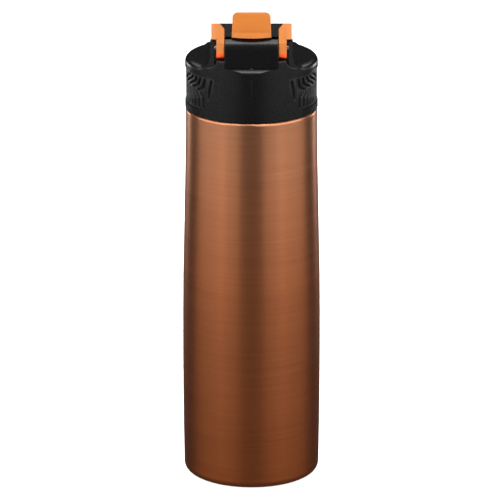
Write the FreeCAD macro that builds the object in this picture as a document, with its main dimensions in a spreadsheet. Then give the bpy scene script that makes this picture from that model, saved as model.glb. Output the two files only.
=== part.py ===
import FreeCAD, Part
import math
import os
import re

import Sketcher

# Double-wall steel water bottle with a screw-on lid and a flip cap.
# Frame: +Z up, origin at the centre of the foot ring. The flip cap is hinged on the -Y side
# of the lid and the drinking spout is on the +Y side. All lengths are in millimetres.

doc = FreeCAD.newDocument("water_bottle")
sheet = doc.addObject("Spreadsheet::Sheet", "Dims")

DRIVING = {
    # outer wall of the bottle: radii and the heights they belong to
    "sheet_t": 0.6, "foot_r": 32.2, "foot_fillet": 4.2, "heel_r": 36.4, "waist_r": 36.69,
    "waist_z": 110, "chest_r": 35.16, "chest_z": 177, "collar_r": 34.94,
    "collar_z": 199, "shoulder_z": 203.9, "shoulder_fillet": 1.5, "side_arc": 3460, "collar_arc": 1000,
    # neck and thread
    "neck_r": 27, "neck_fillet": 2, "mouth_z": 222, "thread_pitch": 5, "thread_turns": 1.25,
    "ridge_root": 2.2, "ridge_crest": 1.1, "ridge_rise": 1.0, "ridge_bite": 0.3,
    "thread_z": 209, "lid_thread_turns": 1.5,
    # inner liner
    "liner_r": 33.5, "liner_z": 9, "liner_fillet": 8, "liner_neck_r": 25.2, "liner_top_z": 197.5,
    "liner_top_fillet": 5, "liner_neck_fillet": 3,
    # base parts
    "base_seat_r": 31.5, "base_step_r": 27, "base_recess": 2.4, "cover_r": 26.5, "cover_t": 0.9,
    "seal_r": 5, "seal_t": 1.2, "getter_r": 6, "getter_t": 1.5,
    # lid shell
    "skirt_r": 35.2, "skirt_in_r": 32.6, "lid_z": 204.4, "deck_z": 232, "deck_t": 2.4,
    "rim_fillet": 3, "plinth_rise": 5, "plinth_half": 18.4, "plinth_edge": 0.8, "edge_r": 0.5,
    "tower_half": 14.2, "face_y": -32.2, "ledge_z": 233, "barrel_r": 6.6,
    "pin_y": -25.6, "pin_z": 242.7, "pin_r": 1.5, "pin_in_x": 8.5, "pin_out_x": 21.3,
    "ear_in_x": 19.5, "ear_t": 2.1, "ear_r": 4.6, "ear_flare": 5, "ear_front_r": 34.5,
    "well_half": 15.4, "well_front_y": -17.4, "well_back_y": 24, "well_corner": 6,
    "tower_hollow_half": 11.5, "tower_hollow_z": 239, "tower_wall": 2.2, "pip_r": 0.8,
    # threaded sleeve, gasket, spout and vent inside the lid
    "sleeve_r": 32.5, "sleeve_in_r": 28.3, "sleeve_z": 204.9, "ceiling_z": 224, "ceiling_t": 2.5,
    "gasket_in_r": 24.9, "gasket_r": 27.8,
    "spout_y": 2, "spout_r": 8.5, "spout_bore_r": 6.8, "spout_top_z": 240,
    "spout_flange_r": 12, "spout_flange_t": 1.5, "oring_in_r": 9.2, "oring_r": 11.4,
    "vent_y": -12, "vent_r": 1.7, "vent_head_r": 3, "vent_head_t": 1.2, "vent_tail_r": 2.6,
    # grip pads
    "pad_floor_r": 33.9, "pad_r": 34.75, "pad_gap": 0.05, "pad_top_z": 226.4, "pad_low_z": 207.9,
    "pad_end_y": 29.1, "pad_end_z": 218.4, "pad_foot_y": 24.3, "pad_foot_z": 209, "pad_foot_in": 3,
    "tread_pitch": 2.75, "tread_w": 1.5, "tread_lean": 0.35, "tread_start_y": -25.4,
    "tread_top_z": 225.2, "tread_low_z": 209.1, "knee_y": 0.8, "knee_z": 5, "knee_rise": 1.2,
    "reach_y": 4.4, "reach_z": 7, "reach_more": 1.3, "foot_y": 1, "foot_z": 10.8,
    "crown_half": 8.4, "crown_step": 3.6, "crown_slope": 1.09,
    # flip cap
    "cap_half": 18.4, "cap_wall": 1.9, "cap_foot_z": 237.4, "cap_back_y": 24.4, "cap_front_y": -19.8,
    "plate_y": -29.2, "plate_z": 249.6, "plate_top_y": -25.9, "cap_top_z": 256,
    "cap_fall": 19, "cap_nose": 2, "cap_edge": 0.8, "plate_t": 2.5, "plate_half": 14.1, "arm_chamfer": 2.5,
    "recess_half": 10.35, "recess_depth": 1.4, "window_half": 8.1,
    # hinge yoke with its thumb tab
    "arm_in_x": 14.25, "arm_out_x": 18.35, "eye_r": 5.5, "eye_bore_r": 1.55, "arm_bend_z": 246.5, "arm_edge": 0.4,
    "rail_out_x": 21.1, "rail_z": 248.5, "rail_back_y": -4, "rail_tail": 3.2,
    "bar_y": -24.6, "bar_back_y": -21, "bar_z": 249.7, "bar_t": 2.3, "bridge_half": 7.8,
    "tab_half": 10.05, "tab_foot_half": 10.35, "tab_top_z": 261.5, "tab_corner": 2.8,
    "tab_lip_y": -32, "tab_side_y": -29.8, "tab_lip_z": 249.4, "tab_lip_t": 1.1, "tab_top_y": -26.2,
    "tab_t": 2.2, "tab_dish": 1.2, "tab_dish_r": 60,
    # carrier ring and spout plug under the cap
    "carrier_r": 9, "carrier_in_r": 6.4, "plug_flange_r": 8.2, "plug_flange_t": 1.6,
    "plug_top_r": 6.4, "plug_tip_r": 5.7, "plug_depth": 2.6, "plug_stud_t": 0.6,
}

for row, (alias, value) in enumerate(DRIVING.items(), start=1):
    sheet.set(f"A{row}", alias)
    sheet.set(f"B{row}", str(value))
    sheet.setAlias(f"B{row}", alias)
doc.recompute()

WORD = re.compile(r"[a-z][a-z_0-9]*")
Vector = FreeCAD.Vector


def bound(expression):
    """The expression with every driving dimension named in full."""
    return WORD.sub(lambda w: "Dims." + w.group() if w.group() in DRIVING else w.group(),
                    str(expression))


def value_of(expression):
    """The number an expression stands for now."""
    return float(sheet.evalExpression(bound(expression)))


def new_body(name):
    body = doc.addObject("PartDesign::Body", name)
    body.Label = name
    return body


def plane(body, role):
    return next(f for f in body.Origin.OriginFeatures if f.Role == role)


def new_sketch(body, name, role, offset=None):
    """An empty sketch on one of the body's origin planes, moved along the plane's normal."""
    sketch = body.newObject("Sketcher::SketchObject", name)
    sketch.AttachmentSupport = [(plane(body, role), "")]
    sketch.MapMode = "FlatFace"
    if offset is not None:
        sketch.setExpression("AttachmentOffset.Base.z", bound(offset))
    return sketch


def pin_point(sketch, geometry, end, x, y):
    """Hold one end of a piece of geometry at expressions x and y from the sketch's origin."""
    for kind, expression in (("DistanceX", x), ("DistanceY", y)):
        value = value_of(expression)
        index = sketch.addConstraint(Sketcher.Constraint(kind, -1, 1, geometry, end, value))
        sketch.setExpression(f"Constraints[{index}]", bound(expression))


def add_loop(sketch, path):
    """Close a loop through path. A point is (x, y), or (x, y, radius, turn) where the stretch
    to the next point is an arc: turn is 1 for anticlockwise and -1 for clockwise."""
    points = [Vector(value_of(p[0]), value_of(p[1]), 0) for p in path]
    ends = []
    for i, step in enumerate(path):
        start, stop = points[i], points[(i + 1) % len(path)]
        if len(step) == 2:
            ends.append((sketch.addGeometry(Part.LineSegment(start, stop)), 1, 2))
            continue
        radius, turn = value_of(step[2]), step[3]
        half = (stop - start) * 0.5
        rise = math.sqrt(max(radius ** 2 - half.Length ** 2, 0))
        left = Vector(-half.y, half.x, 0).normalize()
        centre = start + half + left * (rise * turn)
        angles = [math.atan2(q.y - centre.y, q.x - centre.x) for q in (start, stop)]
        if turn < 0:
            angles.reverse()
        if angles[1] < angles[0]:
            angles[1] += 2 * math.pi
        circle = Part.Circle(centre, Vector(0, 0, 1), radius)
        arc = sketch.addGeometry(Part.ArcOfCircle(circle, *angles))
        ends.append((arc, 1, 2) if turn > 0 else (arc, 2, 1))
    for i, (geometry, _, last) in enumerate(ends):
        following, first, _ = ends[(i + 1) % len(ends)]
        sketch.addConstraint(Sketcher.Constraint("Coincident", geometry, last, following, first))
    for (geometry, first, _), step in zip(ends, path):
        pin_point(sketch, geometry, first, step[0], step[1])
    for (geometry, _, _), step in zip(ends, path):
        if len(step) == 4:
            radius = value_of(step[2])
            index = sketch.addConstraint(Sketcher.Constraint("Radius", geometry, radius))
            sketch.setExpression(f"Constraints[{index}]", bound(step[2]))


def add_circle(sketch, x, y, radius):
    circle = Part.Circle(Vector(value_of(x), value_of(y), 0), Vector(0, 0, 1), value_of(radius))
    geometry = sketch.addGeometry(circle)
    pin_point(sketch, geometry, 3, x, y)
    index = sketch.addConstraint(Sketcher.Constraint("Radius", geometry, value_of(radius)))
    sketch.setExpression(f"Constraints[{index}]", bound(radius))


def loop_sketch(body, name, role, *paths, offset=None):
    sketch = new_sketch(body, name, role, offset)
    for path in paths:
        add_loop(sketch, path)
    return sketch


def finish_feature(body, feature, adds):
    """Recompute and make sure that the feature really added or removed material."""
    before = feature.BaseFeature.Shape.Volume if feature.BaseFeature else 0.0
    doc.recompute()
    change = body.Shape.Volume - before
    if (change if adds else -change) < 0.01:
        raise RuntimeError(f"{body.Label}: {feature.Name} changed {change:.3f} mm3")
    return feature


def turned(body, name, sketch, adds=True):
    """A full turn of the sketch about +Z."""
    kind = "PartDesign::Revolution" if adds else "PartDesign::Groove"
    feature = body.newObject(kind, name)
    feature.Profile = sketch
    feature.ReferenceAxis = (sketch, ["V_Axis"])
    feature.Angle = 360
    return finish_feature(body, feature, adds)


def padded(body, name, sketch, length, symmetric=False, reverse=False):
    feature = body.newObject("PartDesign::Pad", name)
    feature.Profile = sketch
    feature.SideType = "Symmetric" if symmetric else "One side"
    feature.Reversed = reverse
    feature.setExpression("Length", bound(length))
    return finish_feature(body, feature, True)


def cut(body, name, sketch, length=None, reverse=False):
    """A pocket both ways from the sketch where length is left out, or else one way."""
    feature = body.newObject("PartDesign::Pocket", name)
    feature.Profile = sketch
    if length is None:
        feature.SideType = "Symmetric"
        feature.Type = "ThroughAll"
    else:
        feature.SideType = "One side"
        feature.Reversed = reverse
        feature.setExpression("Length", bound(length))
    return finish_feature(body, feature, False)


def slab_cut(body, name, sketch, width):
    """A pocket of the stated width, centred on the sketch."""
    feature = body.newObject("PartDesign::Pocket", name)
    feature.Profile = sketch
    feature.SideType = "Symmetric"
    feature.setExpression("Length", bound(width))
    return finish_feature(body, feature, False)


def mirrored(body, name, originals, role):
    feature = body.newObject("PartDesign::Mirrored", name)
    feature.Originals = originals
    feature.MirrorPlane = (plane(body, role), [""])
    body.Tip = feature
    doc.recompute()
    return feature


def kind_of(edge):
    """The edge's curve, such as Line or Circle, or nothing where an edge has shrunk to a point."""
    return "" if edge.Length < 0.01 else edge.Curve.TypeId.removeprefix("Part::Geom")


def at(number, expression):
    return abs(number - value_of(expression)) < 0.03


def on_side(box, expression):
    """Whether a box lies in the plane X = plus or minus the expression."""
    return at(abs(box.XMin), expression) and at(abs(box.XMax), expression)


def rounded(body, name, radius, chosen):
    """Round off the edges of the body so far that chosen(kind, box) picks."""
    base = body.Tip
    names = [f"Edge{i}" for i, e in enumerate(base.Shape.Edges, start=1)
             if kind_of(e) and chosen(kind_of(e), e.BoundBox)]
    feature = body.newObject("PartDesign::Fillet", name)
    feature.Base = (base, names)
    feature.setExpression("Radius", bound(radius))
    doc.recompute()
    if not names or not body.Shape.isValid():
        raise RuntimeError(f"{body.Label}: {name} failed on {names}")
    return feature


def rectangle(x0, y0, x1, y1):
    return [(x0, y0), (x1, y0), (x1, y1), (x0, y1)]


def ring(name, inner, outer, low, high):
    """A plain turned ring or disc about +Z, with inner 0 for a disc."""
    body = new_body(name)
    profile = loop_sketch(body, name + "_profile", "XZ_Plane", rectangle(inner, low, outer, high))
    turned(body, name + "_turn", profile)
    return body


# ---------------------------------------------------------------- bottle

def outer_shell():
    """Spun outer wall with its threaded neck, open at the foot and at the mouth."""
    body = new_body("outer_shell")
    wall = "sheet_t"
    outside = [
        ("foot_r", "0", "foot_fillet", 1),
        ("heel_r", "foot_fillet", "side_arc", 1),
        ("waist_r", "waist_z"),
        ("chest_r", "chest_z", "collar_arc", -1),
        ("collar_r", "collar_z"),
        ("collar_r", "shoulder_z - shoulder_fillet", "shoulder_fillet", 1),
        ("collar_r - shoulder_fillet", "shoulder_z"),
        ("neck_r + neck_fillet", "shoulder_z", "neck_fillet", -1),
        ("neck_r", "shoulder_z + neck_fillet"),
        ("neck_r", f"mouth_z - {wall}"),
    ]
    inside = [
        (f"neck_r - {wall}", f"mouth_z - {wall}"),
        (f"neck_r - {wall}", "shoulder_z + neck_fillet", f"neck_fillet + {wall}", 1),
        ("neck_r + neck_fillet", f"shoulder_z - {wall}"),
        ("collar_r - shoulder_fillet", f"shoulder_z - {wall}", f"shoulder_fillet - {wall}", -1),
        (f"collar_r - {wall}", "shoulder_z - shoulder_fillet"),
        (f"collar_r - {wall}", "collar_z", f"collar_arc + {wall}", 1),
        (f"chest_r - {wall}", "chest_z"),
        (f"waist_r - {wall}", "waist_z", f"side_arc - {wall}", -1),
        (f"heel_r - {wall}", "foot_fillet", f"foot_fillet - {wall}", -1),
        ("foot_r", wall),
        ("base_seat_r", wall),
        ("base_seat_r", "0"),
    ]
    turned(body, "wall_turn", loop_sketch(body, "wall_profile", "XZ_Plane", outside + inside))
    thread(body, "neck_r", "ridge_rise", "thread_z", "thread_turns")
    return body


def thread(body, root, rise, start_z, turns):
    """A right-hand ridge: rise is how far it stands out of the root radius, minus for inwards."""
    step = f"({root} - ridge_bite)" if not rise.startswith("-") else f"({root} + ridge_bite)"
    ridge = [
        (step, f"{start_z} - ridge_root / 2"),
        (f"{root} + {rise}", f"{start_z} - ridge_crest / 2"),
        (f"{root} + {rise}", f"{start_z} + ridge_crest / 2"),
        (step, f"{start_z} + ridge_root / 2"),
    ]
    sketch = loop_sketch(body, "ridge_profile", "XZ_Plane", ridge)
    helix = body.newObject("PartDesign::AdditiveHelix", "ridge")
    helix.Profile = sketch
    helix.ReferenceAxis = (sketch, ["V_Axis"])
    helix.Mode = "pitch-turns-angle"
    helix.setExpression("Pitch", bound("thread_pitch"))
    helix.setExpression("Turns", bound(turns))
    finish_feature(body, helix, True)


def inner_liner():
    """Drawn inner vessel that holds the drink, rolled out over the top of the neck."""
    body = new_body("inner_liner")
    wall = "sheet_t"
    outside = [
        ("0", "liner_z"),
        ("liner_r - liner_fillet", "liner_z", "liner_fillet", 1),
        ("liner_r", "liner_z + liner_fillet"),
        ("liner_r", "liner_top_z - liner_top_fillet", "liner_top_fillet", 1),
        ("liner_r - liner_top_fillet", "liner_top_z"),
        ("liner_neck_r + liner_neck_fillet", "liner_top_z", "liner_neck_fillet", -1),
        ("liner_neck_r", "liner_top_z + liner_neck_fillet"),
        ("liner_neck_r", f"mouth_z - {wall}"),
        ("neck_r", f"mouth_z - {wall}"),
        ("neck_r", "mouth_z"),
    ]
    inside = [
        (f"liner_neck_r - {wall}", "mouth_z"),
        (f"liner_neck_r - {wall}", "liner_top_z + liner_neck_fillet",
         f"liner_neck_fillet + {wall}", 1),
        ("liner_neck_r + liner_neck_fillet", f"liner_top_z - {wall}"),
        ("liner_r - liner_top_fillet", f"liner_top_z - {wall}", f"liner_top_fillet - {wall}", -1),
        (f"liner_r - {wall}", "liner_top_z - liner_top_fillet"),
        (f"liner_r - {wall}", "liner_z + liner_fillet", f"liner_fillet - {wall}", -1),
        ("liner_r - liner_fillet", f"liner_z + {wall}"),
        ("0", f"liner_z + {wall}"),
    ]
    turned(body, "wall_turn", loop_sketch(body, "wall_profile", "XZ_Plane", outside + inside))
    return body


def outer_base():
    """Pressed base welded inside the foot: a flat foot ring round a raised middle."""
    body = new_body("outer_base")
    section = [
        ("0", "base_recess"), ("base_step_r", "base_recess"), ("base_step_r", "0"),
        ("base_seat_r", "0"), ("base_seat_r", "sheet_t"), ("base_step_r + sheet_t", "sheet_t"),
        ("base_step_r + sheet_t", "base_recess + sheet_t"), ("0", "base_recess + sheet_t"),
    ]
    turned(body, "base_turn", loop_sketch(body, "base_profile", "XZ_Plane", section))
    return body


def bottle_parts():
    base_top = "base_recess + sheet_t"
    return [
        outer_shell(),
        inner_liner(),
        outer_base(),
        ring("base_cover", "0", "cover_r", "base_recess - cover_t", "base_recess"),
        ring("vacuum_seal", "0", "seal_r", base_top, f"{base_top} + seal_t"),
        ring("getter_pellet", "0", "getter_r", "liner_z - getter_t", "liner_z"),
    ]


# ---------------------------------------------------------------- lid

def lid_blank():
    """Moulded lid: skirt and deck, a raised plinth across it, the hinge tower and two ears."""
    body = new_body("lid_blank")
    plinth_z = "(deck_z + plinth_rise)"
    under_z = "(deck_z - deck_t)"
    cup = [
        ("0", under_z), ("skirt_in_r", under_z), ("skirt_in_r", "lid_z"), ("skirt_r", "lid_z"),
        ("skirt_r", "deck_z - rim_fillet", "rim_fillet", 1),
        ("skirt_r - rim_fillet", "deck_z"), ("0", "deck_z"),
    ]
    turned(body, "cup_turn", loop_sketch(body, "cup_profile", "XZ_Plane", cup))

    ear_top = "(pin_z + ear_r)"
    shelf = "(ear_front_r - skirt_r + rim_fillet)"
    ear_foot = f"(deck_z - rim_fillet + sqrt(rim_fillet * rim_fillet - {shelf} * {shelf}))"
    ear_out = "(ear_in_x + ear_t)"
    ear = [
        ("ear_in_x", ear_foot), (f"{ear_out} + ear_flare", ear_foot),
        (f"{ear_out} + ear_flare", "deck_z", "ear_flare", -1),
        (ear_out, "deck_z + ear_flare"), (ear_out, ear_top), ("ear_in_x", ear_top),
    ]
    sketch = loop_sketch(body, "ear_profile", "XZ_Plane", ear, offset="-(pin_y + ear_r)")
    right_ear = padded(body, "right_ear", sketch, "2 * ear_r")
    mirrored(body, "left_ear", [right_ear], "YZ_Plane")
    lug = [
        ("pin_y - ear_r", "pin_z"), ("pin_y - ear_r - 1", "pin_z"),
        ("pin_y - ear_r - 1", f"{ear_top} + 1"), ("pin_y + ear_r + 1", f"{ear_top} + 1"),
        ("pin_y + ear_r + 1", "pin_z"), ("pin_y + ear_r", "pin_z", "ear_r", 1),
        ("pin_y", ear_top, "ear_r", 1),
    ]
    cut(body, "lug_round", loop_sketch(body, "lug_profile", "YZ_Plane", lug))
    beyond = rectangle("ear_front_r", ear_foot, "skirt_r + 20", "pin_z + 20")
    turned(body, "ear_trim", loop_sketch(body, "ear_trim_profile", "XZ_Plane", beyond), adds=False)

    plinth = [
        ("-plinth_half - 2 * plinth_rise", "deck_z - rim_fillet"),
        ("plinth_half + 2 * plinth_rise", "deck_z - rim_fillet"),
        ("plinth_half + plinth_rise", "deck_z", "plinth_rise", -1),
        ("plinth_half", f"{plinth_z} - plinth_edge", "plinth_edge", 1),
        ("plinth_half - plinth_edge", plinth_z),
        ("-plinth_half + plinth_edge", plinth_z, "plinth_edge", 1),
        ("-plinth_half", f"{plinth_z} - plinth_edge", "plinth_rise", -1),
        ("-plinth_half - plinth_rise", "deck_z"),
    ]
    sketch = loop_sketch(body, "plinth_profile", "XZ_Plane", plinth)
    padded(body, "plinth", sketch, "2 * skirt_r", symmetric=True)
    outside = [
        ("skirt_r", "deck_z - rim_fillet - 1"), ("skirt_r + 20", "deck_z - rim_fillet - 1"),
        ("skirt_r + 20", f"{plinth_z} + 1"), ("skirt_r - plinth_edge", f"{plinth_z} + 1"),
        ("skirt_r - plinth_edge", plinth_z, "plinth_edge", -1),
        ("skirt_r", f"{plinth_z} - plinth_edge"),
    ]
    turned(body, "trim", loop_sketch(body, "trim_profile", "XZ_Plane", outside), adds=False)

    tower = [
        ("face_y", "deck_z"), ("pin_y + barrel_r", "deck_z"),
        ("pin_y + barrel_r", "pin_z", "barrel_r", 1), ("pin_y", "pin_z + barrel_r", "barrel_r", 1),
        ("face_y", "pin_z"),
    ]
    sketch = loop_sketch(body, "tower_profile", "YZ_Plane", tower)
    padded(body, "tower", sketch, "2 * tower_half", symmetric=True)

    face = [
        ("face_y", "pin_z + 20"), ("face_y", "ledge_z", "rim_fillet", 1),
        ("-skirt_r", "ledge_z - rim_fillet"), ("-skirt_r - 5", "ledge_z - rim_fillet"),
        ("-skirt_r - 5", "pin_z + 20"),
    ]
    cut(body, "flat_face", loop_sketch(body, "flat_face_profile", "YZ_Plane", face))

    underside = rectangle("0", "lid_z - 1", "skirt_in_r", under_z)
    sketch = loop_sketch(body, "underside_profile", "XZ_Plane", underside)
    turned(body, "underside", sketch, adds=False)

    well = [
        ("-well_half + well_corner", "well_front_y"),
        ("well_half - well_corner", "well_front_y", "well_corner", 1),
        ("well_half", "well_front_y + well_corner"),
        ("well_half", "well_back_y - well_corner", "well_corner", 1),
        ("well_half - well_corner", "well_back_y"),
        ("-well_half + well_corner", "well_back_y", "well_corner", 1),
        ("-well_half", "well_back_y - well_corner"),
        ("-well_half", "well_front_y + well_corner", "well_corner", 1),
    ]
    sketch = loop_sketch(body, "well_profile", "XY_Plane", well, offset="deck_z")
    cut(body, "well", sketch, "plinth_rise + 1", reverse=True)

    rounded(body, "flank_round", "edge_r", lambda kind, box: (
        kind == "BSplineCurve" and at(box.ZMin, "deck_z") and box.ZMax > value_of("pin_z - 7")
        and at(box.ZMax, "deck_z + plinth_rise - plinth_edge")
        and min(abs(box.YMin), abs(box.YMax)) > value_of("well_back_y")))
    rounded(body, "tower_round", "edge_r", lambda kind, box: (
        on_side(box, "tower_half") and box.ZMin > value_of(plinth_z) - 0.1
        and (kind == "Circle" or at(box.YMax, "face_y"))))
    rounded(body, "well_round", "edge_r", lambda kind, box: (
        at(box.ZMin, plinth_z) and at(box.ZMax, plinth_z) and box.YMin > value_of("well_front_y") - 1
        and max(abs(box.XMin), abs(box.XMax)) < value_of("well_half") + 0.1))

    hollow = rectangle("-tower_hollow_half", "face_y + tower_wall",
                       "tower_hollow_half", "pin_y + barrel_r - tower_wall")
    sketch = loop_sketch(body, "tower_hollow_profile", "XY_Plane", hollow, offset=f"{under_z} - 1")
    cut(body, "tower_hollow", sketch, f"tower_hollow_z - {under_z} + 1", reverse=True)

    holes = new_sketch(body, "floor_holes", "XY_Plane", offset=f"{under_z} - 1")
    add_circle(holes, "0", "spout_y", "spout_r + 0.1")
    add_circle(holes, "0", "vent_y", "vent_r")
    cut(body, "floor_hole_cut", holes, "deck_t + 2", reverse=True)

    pin_hole = new_sketch(body, "pin_hole_profile", "YZ_Plane")
    add_circle(pin_hole, "pin_y", "pin_z", "pin_r")
    cut(body, "pin_hole", pin_hole)

    pip = body.newObject("PartDesign::AdditiveSphere", "pip")
    pip.setExpression("Radius", bound("pip_r"))
    pip.AttachmentSupport = [(plane(body, "XY_Plane"), "")]
    pip.MapMode = "FlatFace"
    pip.setExpression("AttachmentOffset.Base.y", bound("face_y - 0.3"))
    pip.setExpression("AttachmentOffset.Base.z", bound("ledge_z - 0.2"))
    doc.recompute()
    return body


def pad_outline(grow):
    """Side view of a grip pad in Y and Z: a band whose lower corners are cut away."""
    return [
        (f"-pad_end_y - {grow}", f"pad_top_z + {grow}"), (f"-pad_end_y - {grow}", "pad_end_z"),
        (f"-pad_foot_y - {grow}", f"pad_foot_z - {grow}"),
        (f"-pad_foot_y + pad_foot_in", f"pad_low_z - {grow}"),
        (f"pad_foot_y - pad_foot_in", f"pad_low_z - {grow}"),
        (f"pad_foot_y + {grow}", f"pad_foot_z - {grow}"),
        (f"pad_end_y + {grow}", "pad_end_z"), (f"pad_end_y + {grow}", f"pad_top_z + {grow}"),
    ]


def band(name, side, inner, outer, grow):
    """The part of a ring on one side of the lid that lies within the pad outline."""
    body = new_body(name)
    section = rectangle(inner, f"pad_low_z - {grow}", outer, f"pad_top_z + {grow}")
    turned(body, "band_turn", loop_sketch(body, "band_profile", "XZ_Plane", section))
    frame = rectangle("-40", "pad_low_z - 5", "40", "pad_top_z + 5")
    sketch = loop_sketch(body, "outline", "YZ_Plane", frame, pad_outline(grow))
    cut(body, "outline_cut", sketch)
    half = rectangle("0", "-40", f"{-side} * 40", "40")
    cut(body, "half_cut", loop_sketch(body, "half_profile", "XY_Plane", half))
    return body


def grip(name, side):
    """Soft pad with nested zigzag treads, mirrored front to back, and chevrons between them."""
    body = band(name, side, "pad_floor_r + pad_gap", "pad_r", "0")
    treads = []
    for k in range(5):
        y = f"(tread_start_y + {k} * tread_pitch)"
        spine = [
            (y, "tread_top_z"),
            (f"{y} + knee_y", f"tread_top_z - knee_z + {k} * knee_rise"),
            (f"{y} + reach_y + {k} * reach_more", f"tread_top_z - reach_z + {k} * knee_rise / 2"),
            (f"{y} + foot_y", f"tread_top_z - foot_z - {k} * knee_y"),
            (f"{y} + foot_y", "tread_low_z"),
        ]
        back = [(f"{py} + tread_w", f"{pz} + tread_lean") for py, pz in reversed(spine)]
        sketch = loop_sketch(body, f"tread_{k}_profile", "YZ_Plane", spine + back)
        treads.append(cut(body, f"tread_{k}", sketch))
    edge = [
        ("-pad_end_y + 0.9", "tread_top_z"), ("-pad_end_y + 1.9", "tread_top_z - 6"),
        ("-pad_end_y + 2.2", "pad_end_z - 3.4"), ("-pad_end_y + 3.2", "pad_end_z - 3.6"),
        ("-pad_end_y + 3.0", "tread_top_z - 6"), ("-pad_end_y + 2", "tread_top_z"),
    ]
    treads.append(cut(body, "tread_edge", loop_sketch(body, "tread_edge_profile", "YZ_Plane", edge)))
    mirrored(body, "back_treads", treads, "XZ_Plane")
    for k in range(2):
        half, inner = f"(crown_half - {k} * crown_step)", f"(crown_half - {k} * crown_step - tread_w)"
        crown = [
            (f"-{half}", "tread_low_z"), (f"-{inner}", "tread_low_z"),
            ("0", f"tread_low_z + {inner} * crown_slope"), (inner, "tread_low_z"),
            (half, "tread_low_z"), ("0", f"tread_low_z + {half} * crown_slope"),
        ]
        cut(body, f"crown_{k}", loop_sketch(body, f"crown_{k}_profile", "YZ_Plane", crown))
    return body


def lid_shell():
    """The lid with the shallow seats of the two grip pads cut out of its wall."""
    shell = lid_blank()
    for side, word in ((1, "right"), (-1, "left")):
        seat = band(word + "_pad_seat", side, "pad_floor_r", "skirt_r + 1", "pad_gap")
        cutter = doc.addObject("Part::Cut", "shell_without_" + word + "_seat")
        cutter.Base = shell
        cutter.Tool = seat
        doc.recompute()
        shell = cutter
    shell.Label = "lid_shell"
    return shell


def thread_sleeve():
    """Inner cup of the lid, with the female thread and the ceiling that seals on the mouth."""
    body = new_body("thread_sleeve")
    section = [
        ("0", "ceiling_z"), ("sleeve_in_r", "ceiling_z"), ("sleeve_in_r", "sleeve_z"),
        ("sleeve_r", "sleeve_z"), ("sleeve_r", "ceiling_z + ceiling_t"),
        ("0", "ceiling_z + ceiling_t"),
    ]
    turned(body, "cup_turn", loop_sketch(body, "cup_profile", "XZ_Plane", section))
    holes = new_sketch(body, "ceiling_holes", "XY_Plane", offset="ceiling_z - 1")
    add_circle(holes, "0", "spout_y", "spout_bore_r")
    add_circle(holes, "0", "vent_y", "vent_r")
    cut(body, "ceiling_hole_cut", holes, "ceiling_t + 2", reverse=True)
    thread(body, "sleeve_in_r", "-ridge_rise", "thread_z - thread_pitch / 2", "lid_thread_turns")
    return body


def spout():
    """Drinking tube with a flange that is held between the sleeve's ceiling and the deck."""
    body = new_body("spout")
    foot = "(ceiling_z + ceiling_t)"
    section = [
        ("spout_bore_r", foot), ("spout_flange_r", foot),
        ("spout_flange_r", f"{foot} + spout_flange_t"), ("spout_r", f"{foot} + spout_flange_t"),
        ("spout_r", "spout_top_z - 0.6", "0.6", 1), ("spout_r - 0.6", "spout_top_z"),
        ("spout_bore_r + 0.5", "spout_top_z", "0.5", 1), ("spout_bore_r", "spout_top_z - 0.5"),
    ]
    turned(body, "tube_turn", loop_sketch(body, "tube_profile", "XZ_Plane", section))
    body.setExpression("Placement.Base.y", bound("spout_y"))
    return body


def spout_gasket():
    foot = "ceiling_z + ceiling_t + spout_flange_t"
    body = ring("spout_gasket", "oring_in_r", "oring_r", foot, "deck_z - deck_t")
    body.setExpression("Placement.Base.y", bound("spout_y"))
    return body


def vent_valve():
    """Silicone valve: a head on the deck, a stem through both walls and a flared tail."""
    body = new_body("vent_valve")
    section = [
        ("0", "ceiling_z - 2.6"), ("0.9", "ceiling_z - 2.6"), ("vent_tail_r", "ceiling_z - 0.1"),
        ("vent_r - 0.05", "ceiling_z - 0.1"), ("vent_r - 0.05", "deck_z"), ("vent_head_r", "deck_z"),
        ("vent_head_r", "deck_z + vent_head_t - 0.5", "0.5", 1),
        ("vent_head_r - 0.5", "deck_z + vent_head_t"), ("0", "deck_z + vent_head_t"),
    ]
    turned(body, "valve_turn", loop_sketch(body, "valve_profile", "XZ_Plane", section))
    body.setExpression("Placement.Base.y", bound("vent_y"))
    return body


def hinge_pin(name, side):
    """Steel stub pin from the tower, through the yoke's eye, into an ear."""
    pin = doc.addObject("Part::Cylinder", name)
    pin.Label = name
    pin.setExpression("Radius", bound("pin_r"))
    pin.setExpression("Height", bound("pin_out_x - pin_in_x"))
    pin.Placement.Rotation = FreeCAD.Rotation(Vector(0, 1, 0), 90)
    start = "pin_in_x" if side > 0 else "-pin_out_x"
    for letter, expression in (("x", start), ("y", "pin_y"), ("z", "pin_z")):
        pin.setExpression("Placement.Base." + letter, bound(expression))
    doc.recompute()
    return pin


def lid_parts():
    return [
        lid_shell(),
        thread_sleeve(),
        ring("mouth_gasket", "gasket_in_r", "gasket_r", "mouth_z", "ceiling_z"),
        spout(),
        spout_gasket(),
        vent_valve(),
        grip("grip_right", 1),
        grip("grip_left", -1),
        hinge_pin("hinge_pin_right", 1),
        hinge_pin("hinge_pin_left", -1),
    ]


# ---------------------------------------------------------------- flip cap

def cap_top(y, below="0"):
    """Height of the cap's sloping top at y, less the distance below."""
    return f"(cap_top_z - ({y} - plate_top_y) * tan(cap_fall * 1 deg) - {below})"


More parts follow.
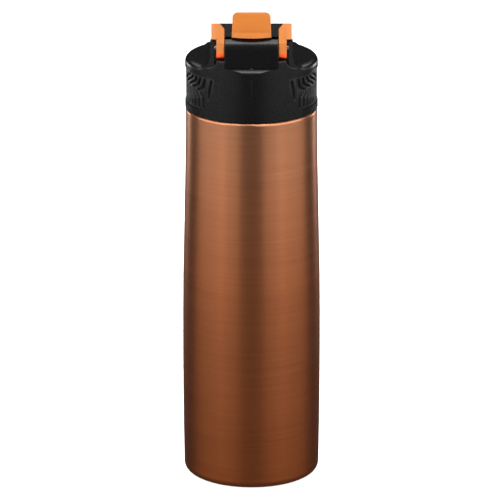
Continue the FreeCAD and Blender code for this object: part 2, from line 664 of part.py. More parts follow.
def cap_shell():
    """Hollow wedge that falls away to the back, with a slanted front plate and a thumb recess."""
    body = new_body("cap_shell")
    nose_y = "(cap_back_y - cap_nose)"
    side = [
        ("plate_y", "plate_z"), ("cap_front_y", "plate_z"), ("cap_front_y", "cap_foot_z"),
        ("cap_back_y", "cap_foot_z"), ("cap_back_y", f"{cap_top(nose_y)} - 1.2"),
        (nose_y, cap_top(nose_y)), ("plate_top_y", "cap_top_z"),
    ]
    sketch = loop_sketch(body, "side_profile", "YZ_Plane", side)
    padded(body, "wedge", sketch, "2 * cap_half", symmetric=True)

    lean = "((plate_top_y - plate_y) / (cap_top_z - plate_z))"
    plate_in_y = "(plate_y + plate_t)"
    roof_y = "(plate_top_y + plate_t)"
    inner_back = "(cap_back_y - cap_wall)"
    room = [
        (plate_in_y, "plate_z - 1"), ("cap_front_y", "plate_z - 1"),
        ("cap_front_y", "cap_foot_z - 1"), (inner_back, "cap_foot_z - 1"),
        (inner_back, cap_top(inner_back, "cap_wall")),
        (roof_y, cap_top(roof_y, "cap_wall")), (plate_in_y, "plate_z + 0.6"),
    ]
    sketch = loop_sketch(body, "room_profile", "YZ_Plane", room)
    slab_cut(body, "room", sketch, "2 * (cap_half - cap_wall)")

    for side_sign, word in ((1, "right"), (-1, "left")):
        corner = [
            (f"{side_sign} * plate_half", "plate_z - 1"),
            (f"{side_sign} * plate_half", "cap_top_z - arm_chamfer"),
            (f"{side_sign} * (plate_half + arm_chamfer)", "cap_top_z"),
            (f"{side_sign} * (plate_half + arm_chamfer)", "cap_top_z + 1"),
            (f"{side_sign} * (cap_half + 1)", "cap_top_z + 1"),
            (f"{side_sign} * (cap_half + 1)", "plate_z - 1"),
        ]
        sketch = loop_sketch(body, word + "_corner", "XZ_Plane", corner, offset="-cap_front_y")
        cut(body, word + "_arm_room", sketch, "12", reverse=True)

    recess = [
        ("plate_y - 3", "plate_z - 1"), (f"plate_y + recess_depth - {lean}", "plate_z - 1"),
        (f"plate_top_y + recess_depth + {lean}", "cap_top_z + 1"),
        ("plate_y - 3", "cap_top_z + 1"),
    ]
    sketch = loop_sketch(body, "recess_profile", "YZ_Plane", recess)
    slab_cut(body, "recess", sketch, "2 * recess_half")
    window = rectangle("plate_y - 1", "plate_z - 1", "bar_y", "bar_z + bar_t + 0.3")
    sketch = loop_sketch(body, "window_profile", "YZ_Plane", window)
    slab_cut(body, "window", sketch, "2 * window_half")
    rounded(body, "brow_round", "cap_edge", lambda kind, box: (
        box.ZMax > value_of("cap_foot_z") + 0.1 and (
            on_side(box, "cap_half") and box.YMax > value_of("cap_front_y") + 0.1
            or box.YMin > value_of(nose_y) - 0.1 and at(box.XMax, "cap_half")
            and at(box.XMin, "-cap_half"))))
    return body


def hinge_yoke():
    """Coloured fork: a thumb tab, a hidden crossbar, and on each side an arm with its hinge eye
    and a rail along the cap."""
    body = new_body("hinge_yoke")
    lean = "((plate_top_y - plate_y) / (cap_top_z - plate_z))"
    front = [
        ("-tab_foot_half", "tab_lip_z"), ("tab_foot_half", "tab_lip_z"),
        ("tab_half", "tab_top_z - tab_corner", "tab_corner", 1),
        ("tab_half - tab_corner", "tab_top_z"),
        ("-tab_half + tab_corner", "tab_top_z", "tab_corner", 1),
        ("-tab_half", "tab_top_z - tab_corner"),
    ]
    tab_back = "(tab_top_y + tab_t)"
    sketch = loop_sketch(body, "tab_front", "XZ_Plane", front, offset=f"-{tab_back}")
    padded(body, "tab", sketch, f"{tab_back} - tab_lip_y")
    side = [
        (f"plate_y + recess_depth - {lean} * (plate_z - tab_lip_z + 1)", "tab_lip_z - 1"),
        ("tab_lip_y - 1", "tab_lip_z - 1"),
        ("tab_lip_y - 1", "tab_lip_z + tab_lip_t"),
        ("tab_side_y + tab_dish", "tab_lip_z + tab_lip_t + 1.2", "tab_dish_r", 1),
        ("tab_top_y", "tab_top_z + 1"), (f"{tab_back} + 1", "tab_top_z + 1"),
        (f"{tab_back} + 1", "cap_top_z + 1.5"), (tab_back, "cap_top_z + 1"),
        ("plate_top_y + recess_depth", "cap_top_z"),
    ]
    frame = rectangle("tab_lip_y - 4", "tab_lip_z - 4", f"{tab_back} + 4", "tab_top_z + 4")
    cut(body, "tab_side", loop_sketch(body, "tab_side_profile", "YZ_Plane", frame, side))
    bow = "(tab_side_y - tab_lip_y)"
    bow_r = f"(tab_foot_half * tab_foot_half + {bow} * {bow}) / (2 * {bow})"
    in_front = [
        ("-tab_foot_half", "tab_side_y", bow_r, 1), ("tab_foot_half", "tab_side_y"),
        ("tab_foot_half", "tab_lip_y - 2"), ("-tab_foot_half", "tab_lip_y - 2"),
    ]
    cut(body, "lip_bow", loop_sketch(body, "lip_bow_profile", "XY_Plane", in_front))

    bridge = rectangle("plate_y + recess_depth - 0.5", "bar_z", "bar_back_y", "bar_z + bar_t")
    sketch = loop_sketch(body, "bridge_profile", "YZ_Plane", bridge)
    padded(body, "bridge", sketch, "2 * bridge_half", symmetric=True)
    bar = rectangle("bar_y", "bar_z", "bar_back_y", "bar_z + bar_t")
    sketch = loop_sketch(body, "bar_profile", "YZ_Plane", bar)
    padded(body, "crossbar", sketch, "2 * arm_in_x + 1", symmetric=True)

    arm_back = "(cap_front_y - 0.1)"
    arm = [
        ("pin_y - eye_r", "pin_z", "eye_r", 1), ("pin_y", "pin_z - eye_r", "eye_r", 1),
        ("pin_y + eye_r", "pin_z"), (arm_back, "pin_z + 4"), (arm_back, cap_top(arm_back)),
        ("plate_top_y", "cap_top_z"), ("pin_y - eye_r", "arm_bend_z"),
    ]
    sketch = loop_sketch(body, "arm_profile", "YZ_Plane", arm, offset="arm_in_x")
    arm_pad = padded(body, "arm", sketch, "arm_out_x - arm_in_x")
    rail_front = "(plate_top_y - (cap_top_z - rail_z) * 0.6)"
    web = [
        (rail_front, "rail_z"), (arm_back, "rail_z"), (arm_back, cap_top(arm_back)),
        ("plate_top_y", "cap_top_z"),
    ]
    sketch = loop_sketch(body, "web_profile", "YZ_Plane", web, offset="arm_out_x - 0.1")
    web_pad = padded(body, "web", sketch, "cap_half - arm_out_x + 0.3")
    rail = [
        (rail_front, "rail_z"), ("pin_y + eye_r", "rail_z"),
        ("rail_back_y", f"{cap_top('rail_back_y')} - rail_tail"),
        ("rail_back_y", cap_top("rail_back_y", "0.6")), ("plate_top_y", "cap_top_z"),
    ]
    sketch = loop_sketch(body, "rail_profile", "YZ_Plane", rail, offset="cap_half + 0.05")
    rail_pad = padded(body, "rail", sketch, "rail_out_x - cap_half - 0.05")
    wedge = [
        ("arm_in_x - 1", "cap_top_z - arm_chamfer - 1.1"),
        ("plate_half + arm_chamfer + 1.2", "cap_top_z + 1"), ("arm_in_x - 1", "cap_top_z + 1"),
    ]
    sketch = loop_sketch(body, "chamfer_profile", "XZ_Plane", wedge, offset="-cap_front_y")
    chamfer = cut(body, "chamfer", sketch, "12", reverse=True)
    bore_sketch = new_sketch(body, "eye_bore_profile", "YZ_Plane", offset="arm_in_x - 1")
    add_circle(bore_sketch, "pin_y", "pin_z", "eye_bore_r")
    bore = cut(body, "eye_bore", bore_sketch, "arm_out_x - arm_in_x + 2", reverse=True)
    mirrored(body, "left_side", [arm_pad, web_pad, rail_pad, chamfer, bore], "YZ_Plane")
    rounded(body, "tab_round", "edge_r", lambda kind, box: (
        box.ZMin > value_of("tab_lip_z + 1") and box.YMax < value_of(f"{tab_back} - 1")
        and box.ZMax > value_of("cap_top_z") and max(abs(box.XMin), abs(box.XMax)) < 11
        and kind != "Circle"))
    rounded(body, "rail_round", "edge_r", lambda kind, box: (
        on_side(box, "rail_out_x") and box.ZMax > value_of("cap_top_z") - 0.1))
    rounded(body, "arm_round", "arm_edge", lambda kind, box: (
        at(box.YMin, "pin_y - eye_r") and box.ZMax < value_of("arm_bend_z") + 0.1
        and (on_side(box, "arm_in_x") or on_side(box, "arm_out_x"))))
    return body


def spout_carrier():
    """Ring under the cap's roof that holds the plug over the spout."""
    body = new_body("spout_carrier")
    sketch = new_sketch(body, "ring_profile", "XY_Plane", offset="spout_top_z + plug_flange_t")
    add_circle(sketch, "0", "spout_y", "carrier_r")
    add_circle(sketch, "0", "spout_y", "carrier_in_r")
    padded(body, "ring_pad", sketch, "12")
    low, high = "(spout_y - carrier_r - 2)", "(spout_y + carrier_r + 2)"
    roof = [
        (low, cap_top(low, "cap_wall")), (high, cap_top(high, "cap_wall")),
        (high, "cap_top_z + 4"), (low, "cap_top_z + 4"),
    ]
    cut(body, "roof_cut", loop_sketch(body, "roof_profile", "YZ_Plane", roof))
    return body


def spout_plug():
    """Soft plug: a flange on the spout's rim, a tapered tip in its bore and a stud above."""
    body = new_body("spout_plug")
    rim = "spout_top_z"
    section = [
        ("0", f"{rim} - plug_depth"), ("plug_tip_r", f"{rim} - plug_depth"), ("plug_top_r", rim),
        ("plug_flange_r", rim), ("plug_flange_r", f"{rim} + plug_flange_t"),
        ("carrier_in_r", f"{rim} + plug_flange_t"),
        ("carrier_in_r", f"{rim} + plug_flange_t + plug_stud_t"),
        ("0", f"{rim} + plug_flange_t + plug_stud_t"),
    ]
    turned(body, "plug_turn", loop_sketch(body, "plug_profile", "XZ_Plane", section))
    body.setExpression("Placement.Base.y", bound("spout_y"))
    return body


# ---------------------------------------------------------------- check and write

def check_document():
    failed = [o.Label for o in doc.Objects if {"Invalid", "Error"} & set(o.State)]
    if failed:
        raise RuntimeError("failed features: " + ", ".join(failed))


def write_parts(parts):
    os.makedirs("parts", exist_ok=True)
    for part in parts:
        shape = part.Shape
        if shape.isNull() or not shape.isValid() or shape.Volume <= 0:
            raise RuntimeError(f"{part.Label} has no valid solid")
    for part in parts:
        part.Shape.exportStep(f"parts/{part.Label}.step")
        print(f"{part.Label:18s} {part.Shape.Volume:10.1f} mm3, {len(part.Shape.Solids)} solid")


pieces = bottle_parts() + lid_parts() + [cap_shell(), hinge_yoke(), spout_carrier(), spout_plug()]
doc.recompute()
check_document()
write_parts(pieces)
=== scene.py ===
import math

import bpy
from bpy.props import FloatProperty, FloatVectorProperty, PointerProperty
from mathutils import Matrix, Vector


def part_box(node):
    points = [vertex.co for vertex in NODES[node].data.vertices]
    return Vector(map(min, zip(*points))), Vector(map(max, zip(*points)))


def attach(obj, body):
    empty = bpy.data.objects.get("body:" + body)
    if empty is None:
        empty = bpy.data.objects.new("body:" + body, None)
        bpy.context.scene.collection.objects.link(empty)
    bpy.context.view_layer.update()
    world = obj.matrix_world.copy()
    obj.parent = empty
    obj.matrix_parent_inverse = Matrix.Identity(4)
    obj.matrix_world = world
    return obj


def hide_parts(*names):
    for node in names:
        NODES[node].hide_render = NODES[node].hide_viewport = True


bl_info = {
    "name": "Copper Bottle Finishes",
    "version": (1, 0, 0),
    "blender": (4, 5, 0),
    "location": "View3D > Sidebar > Bottle",
    "description": "Adds the finishes, moulded details and studio of a copper water bottle",
    "category": "Object",
}

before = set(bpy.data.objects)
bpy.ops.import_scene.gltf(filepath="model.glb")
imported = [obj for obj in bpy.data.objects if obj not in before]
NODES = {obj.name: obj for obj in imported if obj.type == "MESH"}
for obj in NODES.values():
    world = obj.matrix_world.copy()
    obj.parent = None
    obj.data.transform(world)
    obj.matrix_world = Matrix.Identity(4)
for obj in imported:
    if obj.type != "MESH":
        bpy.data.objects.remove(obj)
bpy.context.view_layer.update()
MM = 0.001
MERGE = 0.002 * MM          # corners of a CAD mesh this close are one corner
SMOOTH = math.radians(40)   # edges flatter than this are shaded smooth

# surface patterns, as a number of features to the metre
BRUSH_RUNS = 18             # brush lines end to end round the wall
FLOW_MARKS = 45             # flow marks side by side in moulded plastic
DRAW_LINES = 900            # drawing lines side by side on bare metal
DRAW_RUNS = 30              # drawing lines end to end
BLOOM = 900                 # dull specks on silicone

# and their depths
GROOVE = 0.02 * MM          # a brush line or a drawing line
SPARK = 0.05 * MM           # the grain that spark erosion leaves in a mould


# ---------------------------------------------------------------- helpers

def linear(hex_colour):
    """An sRGB colour such as "C77B4A" as linear RGBA."""
    channels = [int(hex_colour[i:i + 2], 16) / 255 for i in (0, 2, 4)]
    return [c / 12.92 if c <= 0.04045 else ((c + 0.055) / 1.055) ** 2.4 for c in channels] + [1.0]


def add_node(tree, kind, inputs=None, **settings):
    """Add a node. inputs maps a socket to its value, or to another node's output to link."""
    new = tree.nodes.new(kind)
    for name, value in settings.items():
        setattr(new, name, value)
    for name, value in (inputs or {}).items():
        if isinstance(value, bpy.types.NodeSocket):
            tree.links.new(value, new.inputs[name])
        else:
            new.inputs[name].default_value = value
    return new


def set_stops(ramp, stops):
    """Give a colour ramp the stops (place, linear colour)."""
    elements = ramp.color_ramp.elements
    while len(elements) > 1:
        elements.remove(elements[-1])
    for i, (place, colour) in enumerate(stops):
        element = elements[0] if i == 0 else elements.new(place)
        element.position = place
        element.color = colour


def new_material(name):
    """An empty material with its output node; returns the material, its tree and the output."""
    material = bpy.data.materials.new(name)
    material.use_nodes = True
    material.node_tree.nodes.clear()
    output = add_node(material.node_tree, "ShaderNodeOutputMaterial")
    return material, material.node_tree, output


def paint(material, slot, *pieces):
    """Give CAD nodes, named, or new pieces a finish."""
    for piece in pieces:
        if isinstance(piece, str):
            piece = NODES[piece]
        piece.data.materials.clear()
        piece.data.materials.append(material)


def moulded_copy(node, width):
    """A copy of a CAD node with its sharp edges broken, which stands for the node."""
    bpy.ops.object.select_all(action="DESELECT")
    source = NODES[node]
    source.select_set(True)
    bpy.context.view_layer.objects.active = source
    bpy.ops.object.duplicate()
    piece = bpy.context.active_object
    piece.name = node + "_moulded"
    bpy.ops.object.mode_set(mode="EDIT")
    bpy.ops.mesh.select_all(action="SELECT")
    bpy.ops.mesh.remove_doubles(threshold=MERGE)
    bpy.ops.mesh.dissolve_limited(angle_limit=math.radians(0.5))
    bpy.ops.mesh.select_all(action="SELECT")
    bpy.ops.mesh.normals_make_consistent(inside=False)
    bpy.ops.object.mode_set(mode="OBJECT")
    bevel = piece.modifiers.new("broken edges", "BEVEL")
    bevel.width = width
    bevel.segments = 2
    bevel.limit_method = "ANGLE"
    bevel.angle_limit = math.radians(32)
    bevel.use_clamp_overlap = True
    bpy.ops.object.modifier_apply(modifier=bevel.name)
    bpy.ops.object.shade_smooth_by_angle(angle=SMOOTH)
    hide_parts(node)
    return piece


# ---------------------------------------------------------------- finishes

def brushed_copper_lacquer(settings):
    """Spun 18/8 steel, brushed round the body with 0.15 mm grit and sprayed with a clear
    copper-tinted lacquer. The lines smear each reflection up and down and leave it sharp across.
    They are drawn 0.5 mm apart, coarse enough to show. The colour is deeper and darker toward the
    foot and lighter toward the shoulder by height alone: painted shade and painted light over the
    copper colour. The threaded neck is masked when the wall is sprayed, and stays bare."""
    material, tree, output = new_material("Brushed copper lacquer")
    place = add_node(tree, "ShaderNodeTexCoord").outputs["Object"]
    line_height = 1.6 * settings.brush_pitch
    lines = add_node(tree, "ShaderNodeMapping",
                     {"Vector": place, "Scale": (BRUSH_RUNS, BRUSH_RUNS, 1 / line_height)})
    streak = add_node(tree, "ShaderNodeTexNoise",
                      {"Vector": lines.outputs[0], "Scale": 1.0, "Detail": 4.0, "Roughness": 0.7})
    height = add_node(tree, "ShaderNodeSeparateXYZ", {"Vector": place}).outputs["Z"]
    mouth = 222 * MM
    # painted shade and painted light: by height alone the copper darkens toward the foot and lightens
    # toward the shoulder; the last stop is the bare neck in the steel's own colour
    height_share = add_node(tree, "ShaderNodeMapRange", {"Value": height, "From Min": 0, "From Max": mouth})
    depth = add_node(tree, "ShaderNodeValToRGB", {"Fac": height_share.outputs[0]})
    set_stops(depth, [(0, settings.wall_foot_copper_and_shade), (0.5, settings.wall_middle_copper_and_shade),
                      (0.9, settings.wall_top_copper_and_light), (0.922, settings.wall_top_copper_and_light),
                      (0.925, linear("CFCCC8"))])
    shade = add_node(tree, "ShaderNodeValToRGB", {"Fac": streak.outputs["Fac"]})
    set_stops(shade, [(0.25, linear("F0ECEA")), (0.75, linear("FFFFFF"))])
    tint = add_node(tree, "ShaderNodeMix", data_type="RGBA", blend_type="MULTIPLY")
    tint.inputs["Factor"].default_value = 1
    tree.links.new(depth.outputs[0], tint.inputs[6])
    tree.links.new(shade.outputs[0], tint.inputs[7])
    rough = add_node(tree, "ShaderNodeMapRange",
                     {"Value": streak.outputs["Fac"], "From Min": 0.2, "From Max": 0.8,
                      "To Min": settings.copper_rough - 0.035,
                      "To Max": settings.copper_rough + 0.035})
    bump = add_node(tree, "ShaderNodeBump",
                    {"Height": streak.outputs["Fac"], "Strength": 0.04, "Distance": GROOVE})
    tangent = add_node(tree, "ShaderNodeTangent", direction_type="RADIAL", axis="Z")
    shader = add_node(tree, "ShaderNodeBsdfPrincipled",
                      {"Base Color": tint.outputs[2], "Metallic": 1.0,
                       "Roughness": rough.outputs[0], "Anisotropic": 0.6,
                       "Anisotropic Rotation": 0.25,
                       "Tangent": tangent.outputs[0], "Normal": bump.outputs[0]})
    tree.links.new(shader.outputs[0], output.inputs[0])
    return material


def moulded_plastic(name, colours, rough, grain, specular=0.5, painted_shade_tip=None):
    """Injection-moulded plastic from a spark-eroded tool: a fine even grain in the gloss, and
    faint flow marks between two colours. The real grain is under 0.1 mm, and is drawn as coarse
    as it needs to show. A painted shade tip is (colour, low, high): below the height low the
    plastic takes that colour as painted shade, which fades out at the height high."""
    material, tree, output = new_material(name)
    place = add_node(tree, "ShaderNodeTexCoord").outputs["Object"]
    fine = add_node(tree, "ShaderNodeTexNoise",
                    {"Vector": place, "Scale": 1 / grain, "Detail": 2.0, "Roughness": 0.55})
    flow = add_node(tree, "ShaderNodeTexNoise",
                    {"Vector": place, "Scale": FLOW_MARKS, "Detail": 2.0, "Roughness": 0.55})
    marks = add_node(tree, "ShaderNodeValToRGB", {"Fac": flow.outputs["Fac"]})
    set_stops(marks, [(0.35, colours[0]), (0.65, colours[1])])
    colour = marks.outputs["Color"]
    # painted shade: the foot of the piece takes the tip colour, which fades out upward
    if painted_shade_tip:
        painted_shade_colour, low, high = painted_shade_tip
        height = add_node(tree, "ShaderNodeSeparateXYZ", {"Vector": place}).outputs["Z"]
        fade = add_node(tree, "ShaderNodeMapRange",
                        {"Value": height, "From Min": low, "From Max": high,
                         "To Min": 1, "To Max": 0})
        mix = add_node(tree, "ShaderNodeMix", {"Factor": fade.outputs[0]}, data_type="RGBA")
        tree.links.new(colour, mix.inputs[6])
        mix.inputs[7].default_value = painted_shade_colour
        colour = mix.outputs[2]
    gloss = add_node(tree, "ShaderNodeMapRange",
                     {"Value": fine.outputs["Fac"], "From Min": 0.3, "From Max": 0.7,
                      "To Min": rough - 0.05, "To Max": rough + 0.05})
    bump = add_node(tree, "ShaderNodeBump",
                    {"Height": fine.outputs["Fac"], "Strength": 0.12, "Distance": SPARK})
    shader = add_node(tree, "ShaderNodeBsdfPrincipled",
                      {"Base Color": colour, "Roughness": gloss.outputs[0],
                       "Normal": bump.outputs[0], "IOR": 1.49, "Specular IOR Level": specular})
    tree.links.new(shader.outputs[0], output.inputs[0])
    return material


def bare_metal(name, colour, rough):
    """Bare metal with fine lines up and down, left as it came from the press or the grinder. The
    lines are drawn 1.1 mm apart, coarser than the real ones, so that they show."""
    material, tree, output = new_material(name)
    place = add_node(tree, "ShaderNodeTexCoord").outputs["Object"]
    lines = add_node(tree, "ShaderNodeMapping",
                     {"Vector": place, "Scale": (DRAW_LINES, DRAW_LINES, DRAW_RUNS)})
    streak = add_node(tree, "ShaderNodeTexNoise",
                      {"Vector": lines.outputs[0], "Scale": 1.0, "Detail": 3.0, "Roughness": 0.55})
    gloss = add_node(tree, "ShaderNodeMapRange",
                     {"Value": streak.outputs["Fac"], "To Min": rough - 0.06, "To Max": rough + 0.08})
    bump = add_node(tree, "ShaderNodeBump",
                    {"Height": streak.outputs["Fac"], "Strength": 0.08, "Distance": GROOVE})
    shader = add_node(tree, "ShaderNodeBsdfPrincipled",
                      {"Base Color": linear(colour), "Metallic": 1.0, "Roughness": gloss.outputs[0],
                       "Normal": bump.outputs[0]})
    tree.links.new(shader.outputs[0], output.inputs[0])
    return material


def pressed_silicone(name, colour):
    """Food-grade silicone pressed in a heated mould: milky, dull in small specks where dust and
    bloom sit on it, with light scattered inside it."""
    material, tree, output = new_material(name)
    place = add_node(tree, "ShaderNodeTexCoord").outputs["Object"]
    bloom = add_node(tree, "ShaderNodeTexNoise",
                     {"Vector": place, "Scale": BLOOM, "Detail": 3.0, "Roughness": 0.55})
    gloss = add_node(tree, "ShaderNodeMapRange",
                     {"Value": bloom.outputs["Fac"], "To Min": 0.35, "To Max": 0.55})
    shader = add_node(tree, "ShaderNodeBsdfPrincipled",
                      {"Base Color": linear(colour), "Roughness": gloss.outputs[0], "IOR": 1.41,
                       "Subsurface Weight": 0.3, "Subsurface Scale": 1.5 * MM})
    tree.links.new(shader.outputs[0], output.inputs[0])
    return material


# ---------------------------------------------------------------- settings

class BottleSettings(bpy.types.PropertyGroup):
    """Sizes and finishes of the bottle that a user may change."""
    brush_pitch: FloatProperty(
        name="Brush line spacing", description="Distance between the drawn brush lines",
        default=0.5 * MM, unit="LENGTH", precision=5)
    mould_line_width: FloatProperty(
        name="Mould line width", description="Width of the parting line on the skirt",
        default=0.3 * MM, unit="LENGTH", precision=5)
    mould_line_rise: FloatProperty(
        name="Mould line height", description="How far the parting line stands off the skirt",
        default=0.08 * MM, unit="LENGTH", precision=5)
    mould_line_top: FloatProperty(
        name="Mould line top", description="Height at which the parting line ends",
        default=228 * MM, unit="LENGTH", precision=4)
    mould_line_edge: FloatProperty(
        name="Mould line edge", description="Width of the bevel on the parting line's edges",
        default=0.08 * MM, unit="LENGTH", precision=5)
    tread_bevel: FloatProperty(
        name="Tread edge", description="Width of the bevel on the edges of the grip treads",
        default=0.25 * MM, unit="LENGTH", precision=5)
    copper_rough: FloatProperty(
        name="Copper roughness", description="Mean roughness of the brushed wall",
        default=0.34, min=0.1, max=0.8, subtype="FACTOR")
    # the three wall colours are the copper colour with painted shade: darker at the foot, lighter
    # under the lid
    wall_foot_copper_and_shade: FloatVectorProperty(
        name="Wall at the foot", description="Colour of the lacquered wall at its foot",
        default=linear("C86F40"), size=4, subtype="COLOR")
    wall_middle_copper_and_shade: FloatVectorProperty(
        name="Wall at the middle", description="Colour of the lacquered wall half way up",
        default=linear("CB7B50"), size=4, subtype="COLOR")
    wall_top_copper_and_light: FloatVectorProperty(
        name="Wall at the shoulder", description="Colour of the lacquered wall under the lid",
        default=linear("CE8C66"), size=4, subtype="COLOR")
    lid_black: FloatVectorProperty(
        name="Lid", description="Colour of the lid and the flip cap",
        default=linear("070708"), size=4, subtype="COLOR")
    pad_black: FloatVectorProperty(
        name="Grip pads", description="Colour of the soft grip pads",
        default=linear("090909"), size=4, subtype="COLOR")
    yoke_orange: FloatVectorProperty(
        name="Yoke", description="Colour of the orange yoke and its thumb tab",
        default=linear("AE6629"), size=4, subtype="COLOR")
    # painted shade: the deeper orange painted on the lower ends of the arms, where they curve under
    arm_end_painted_shade: FloatVectorProperty(
        name="Arm ends", description="Colour of the lower ends of the yoke's arms",
        default=linear("F0460A"), size=4, subtype="COLOR")


class StudioSettings(bpy.types.PropertyGroup):
    """The camera and the lights."""
    camera_distance: FloatProperty(
        name="Camera distance", description="From the aim point to the camera",
        default=2.5, unit="LENGTH")
    camera_elevation: FloatProperty(
        name="Camera elevation", description="How far the camera looks down",
        default=math.radians(17.6), subtype="ANGLE")
    aim_height: FloatProperty(
        name="Aim height", description="Height of the point that the camera looks at",
        default=0.1235, unit="LENGTH")
    lens: FloatProperty(
        name="Lens", description="Focal length of the camera in millimetres", default=335.5,
        unit="CAMERA")


# ---------------------------------------------------------------- pieces

class BOTTLE_OT_wall(bpy.types.Operator):
    """Finish the spun outer wall, the liner and what the base holds"""
    bl_idname = "bottle.wall"
    bl_label = "Bottle wall"

    def execute(self, context):
        paint(brushed_copper_lacquer(context.scene.bottle), "copper_lacquer", "outer_shell")
        # deep-drawn and left bare: bright, with faint lines up and down
        drawn = bare_metal("Drawn stainless steel", "CFCCC8", 0.25)
        paint(drawn, "bare_steel", "inner_liner", "outer_base")
        # heated with its solder in the vacuum furnace: duller than the steel round it
        brazed = bare_metal("Brazed stainless disc", "BDB9B4", 0.35)
        paint(brazed, "seal_metal", "vacuum_seal")
        # metal powder pressed to a tablet: dark grey and almost without shine
        pressed = bare_metal("Pressed getter powder", "6E6A66", 0.6)
        paint(pressed, "getter_metal", "getter_pellet")
        # compression-moulded and matt, so that it doesn't slide
        rubber = moulded_plastic("Moulded nitrile rubber", (linear("161616"), linear("1C1C1C")),
                                 0.7, 0.6 * MM)
        paint(rubber, "base_rubber", "base_cover")
        return {"FINISHED"}


class BOTTLE_OT_lid(bpy.types.Operator):
    """Finish the screw lid, the flip cap and what they hold"""
    bl_idname = "bottle.lid"
    bl_label = "Screw lid"

    def execute(self, context):
        settings = context.scene.bottle
        # satin and near black: it shows its shape by its highlights only
        black = moulded_plastic("Moulded black polypropylene",
                                (linear("050506"), settings.lid_black), 0.28, 0.35 * MM, 0.36)
        paint(black, "black_polypropylene", "lid_shell", "cap_shell")
        # the same plastic from a plain tool: a little greyer and duller
        charcoal = moulded_plastic("Moulded charcoal polypropylene",
                                   (linear("1B1C1D"), linear("222324")), 0.5, 0.4 * MM)
        paint(charcoal, "sleeve_polypropylene", "thread_sleeve", "spout_carrier")
        # from a polished tool, so that it wipes clean: the glossiest of the black parts
        polished = moulded_plastic("Polished black polypropylene",
                                   (linear("1A1A1B"), linear("202021")), 0.22, 0.4 * MM)
        paint(polished, "spout_polypropylene", "spout")
        milky = pressed_silicone("Pressed milky silicone", "D8D6D0")
        paint(milky, "clear_silicone", "mouth_gasket", "spout_gasket", "vent_valve")
        paint(pressed_silicone("Pressed grey silicone", "6A6A6A"), "plug_silicone", "spout_plug")
        # centreless-ground bar: the brightest metal on the bottle
        ground = bare_metal("Ground stainless steel", "D9D7D3", 0.18)
        paint(ground, "pin_steel", "hinge_pin_right", "hinge_pin_left")
        return {"FINISHED"}


class BOTTLE_OT_treads(bpy.types.Operator):
    """Add the two grip pads with soft edges on their treads"""
    bl_idname = "bottle.treads"
    bl_label = "Grip treads"

    def execute(self, context):
        settings = context.scene.bottle
        # moulded over the lid in a soft grade: black, with less shine than the lid round it
        elastomer = moulded_plastic("Moulded black elastomer",
                                    (linear("060606"), settings.pad_black), 0.45, 0.3 * MM, 0.3)
        for node in ("grip_right", "grip_left"):
            tread = moulded_copy(node, settings.tread_bevel)
            paint(elastomer, "black_elastomer", node, tread)
            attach(tread, "lid")
        return {"FINISHED"}


class BOTTLE_OT_mould_line(bpy.types.Operator):
    """Add the parting line that the two mould halves leave down the front of the skirt"""
    bl_idname = "bottle.mould_line"
    bl_label = "Mould line"

    def execute(self, context):
        settings = context.scene.bottle
        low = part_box("lid_shell")[0]
        skirt_front = low.y
        sunk = 0.4 * MM    # front to back: most of the line stands inside the skirt
        bottom, top = low.z + 1 * MM, settings.mould_line_top
        bpy.ops.object.select_all(action="DESELECT")
        bpy.ops.mesh.primitive_cube_add(size=1, location=(0, 0, 0))
        line = context.active_object
        line.name = "mould_line"
        bpy.ops.object.mode_set(mode="EDIT")
        bpy.ops.transform.resize(value=(settings.mould_line_width, sunk, top - bottom))
        bpy.ops.transform.translate(
            value=(0, skirt_front + sunk / 2 - settings.mould_line_rise, (top + bottom) / 2))
        bpy.ops.mesh.bevel(offset=settings.mould_line_edge, segments=2)
        bpy.ops.object.mode_set(mode="OBJECT")
        bpy.ops.object.shade_smooth_by_angle(angle=SMOOTH)
        paint(NODES["lid_shell"].active_material, "black_polypropylene", line)
        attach(line, "lid")
        return {"FINISHED"}


class BOTTLE_OT_yoke(bpy.types.Operator):
    """Finish the orange yoke with its arms and thumb tab"""
    bl_idname = "bottle.yoke"
    bl_label = "Hinge yoke"

    def execute(self, context):
        settings = context.scene.bottle
        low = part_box("hinge_yoke")[0]
        # a stiff, slippery plastic with an even low gloss. The rounded lower ends of the arms
        # are painted a deeper orange over 6 mm: painted shade where they curve under
        painted_shade_tip = (settings.arm_end_painted_shade, low.z + 0.3 * MM, low.z + 5.8 * MM)
        orange = moulded_plastic("Moulded orange acetal", (linear("A86226"), settings.yoke_orange),
                                 0.32, 0.5 * MM, 0.4, painted_shade_tip)
        paint(orange, "orange_plastic", "hinge_yoke")
        return {"FINISHED"}


# ---------------------------------------------------------------- stage

def softbox(name, azimuth, distance, height, size, power, aim_z=0.12):
    """A softbox turned to the bottle's axis at the height aim_z. The azimuth is in degrees from
    the camera's side, the power in watts."""
    light = bpy.data.lights.new(name, "AREA")
    light.shape = "RECTANGLE"
    light.size, light.size_y = size
    light.energy = power
    holder = bpy.data.objects.new(name, light)
    turn = math.radians(azimuth)
    holder.location = (distance * math.sin(turn), -distance * math.cos(turn), height)
    look = Vector((0, 0, aim_z)) - holder.location
    holder.rotation_euler = look.to_track_quat("-Z", "Y").to_euler()
    bpy.context.scene.collection.objects.link(holder)


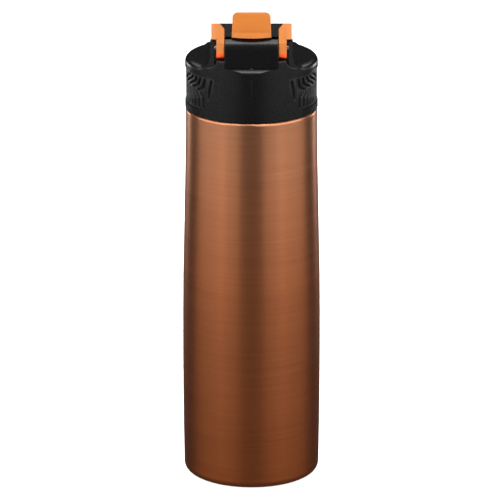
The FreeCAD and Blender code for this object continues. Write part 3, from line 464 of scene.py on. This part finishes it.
class BOTTLE_OT_studio(bpy.types.Operator):
    """Add the floor, the softboxes, the surroundings and the camera"""
    bl_idname = "bottle.studio"
    bl_label = "Studio"

    def execute(self, context):
        studio = context.scene.bottle_studio
        bpy.ops.object.select_all(action="DESELECT")
        bpy.ops.mesh.primitive_plane_add(size=12, location=(0, 0, 0))
        floor = context.active_object
        floor.name = "floor"
        material, tree, output = new_material("Pale sweep")
        diffuse = add_node(tree, "ShaderNodeBsdfDiffuse", {"Color": linear("F4F4F4")})
        glow = add_node(tree, "ShaderNodeEmission", {"Color": linear("FFFFFF"), "Strength": 0.8})
        both = add_node(tree, "ShaderNodeAddShader", {0: diffuse.outputs[0], 1: glow.outputs[0]})
        tree.links.new(both.outputs[0], output.inputs[0])
        floor.data.materials.append(material)
        floor.visible_glossy = False

        # the tall front and key boxes give the wall its two broad bands, with the darker stripe
        # between them, the low rear boxes give it its thin bright edges, and the high rim boxes
        # pick out the front edge of the lid's deck
        for side in (-1, 1):
            softbox(f"front_box_{side}", side * 75, 1.0, 0.45, (1.15, 0.9), 6.4)
            softbox(f"key_box_{side}", side * 36, 1.0, 0.45, (0.62, 0.9), 2.5)
            softbox(f"rear_box_{side}", side * 138, 1.0, 0.09, (0.22, 0.18), 0.8, 0.06)
            softbox(f"rim_box_{side}", side * 132, 1.0, 0.95, (0.45, 0.4), 1.5, 0.23)
        # these light the round of the hinge tower, the ledge and the top of the lid
        softbox("high_box", 0, 0.62, 1.2, (1.2, 0.3), 8.0, 0.24)
        softbox("top_box", 0, 0.04, 1.5, (1.3, 1.1), 19, 0.24)
        softbox("deck_box", 180, 0.8, 1.0, (1.0, 0.5), 1.2, 0.23)

        world = bpy.data.worlds.new("Studio")
        context.scene.world = world
        world.use_nodes = True
        tree = world.node_tree
        tree.nodes.clear()
        # the room is dim, and dimmer behind the bottle
        way = add_node(tree, "ShaderNodeTexCoord").outputs["Generated"]
        back = add_node(tree, "ShaderNodeSeparateXYZ", {"Vector": way}).outputs["Y"]
        level = add_node(tree, "ShaderNodeMapRange",
                         {"Value": back, "From Min": 0.1, "From Max": 0.8, "To Min": 0.13,
                          "To Max": 0.02})
        grey = add_node(tree, "ShaderNodeBackground",
                        {"Color": linear("FFFFFF"), "Strength": level.outputs[0]})
        out = add_node(tree, "ShaderNodeOutputWorld")
        tree.links.new(grey.outputs[0], out.inputs[0])

        camera = bpy.data.cameras.new("camera")
        camera.lens = studio.lens
        camera.sensor_width = 36
        holder = bpy.data.objects.new("camera", camera)
        tilt = studio.camera_elevation
        aim = Vector((-0.0008, 0, studio.aim_height))
        holder.location = aim + Vector((0, -math.cos(tilt), math.sin(tilt))) * studio.camera_distance
        holder.rotation_euler = (math.pi / 2 - tilt, 0, 0)
        context.scene.collection.objects.link(holder)
        context.scene.camera = holder
        context.scene.view_settings.view_transform = "Standard"
        return {"FINISHED"}


class BOTTLE_PT_panel(bpy.types.Panel):
    """Lists the bottle's operators in the sidebar"""
    bl_label = "Bottle"
    bl_idname = "BOTTLE_PT_panel"
    bl_space_type = "VIEW_3D"
    bl_region_type = "UI"
    bl_category = "Bottle"

    def draw(self, context):
        for group in (context.scene.bottle, context.scene.bottle_studio):
            for name in group.bl_rna.properties.keys():
                if name not in ("rna_type", "name"):
                    self.layout.prop(group, name)
        for operator in OPERATORS:
            self.layout.operator(operator.bl_idname)


OPERATORS = (BOTTLE_OT_wall, BOTTLE_OT_lid, BOTTLE_OT_treads, BOTTLE_OT_mould_line,
             BOTTLE_OT_yoke, BOTTLE_OT_studio)
CLASSES = (BottleSettings, StudioSettings) + OPERATORS + (BOTTLE_PT_panel,)


def register():
    for cls in CLASSES:
        bpy.utils.register_class(cls)
    bpy.types.Scene.bottle = PointerProperty(type=BottleSettings)
    bpy.types.Scene.bottle_studio = PointerProperty(type=StudioSettings)


def unregister():
    del bpy.types.Scene.bottle_studio
    del bpy.types.Scene.bottle
    for cls in reversed(CLASSES):
        bpy.utils.unregister_class(cls)


def main():
    register()
    bpy.ops.bottle.studio()
    bpy.ops.bottle.wall()
    bpy.ops.bottle.lid()
    bpy.ops.bottle.treads()
    bpy.ops.bottle.mould_line()
    bpy.ops.bottle.yoke()


if __name__ == "__main__":
    main()
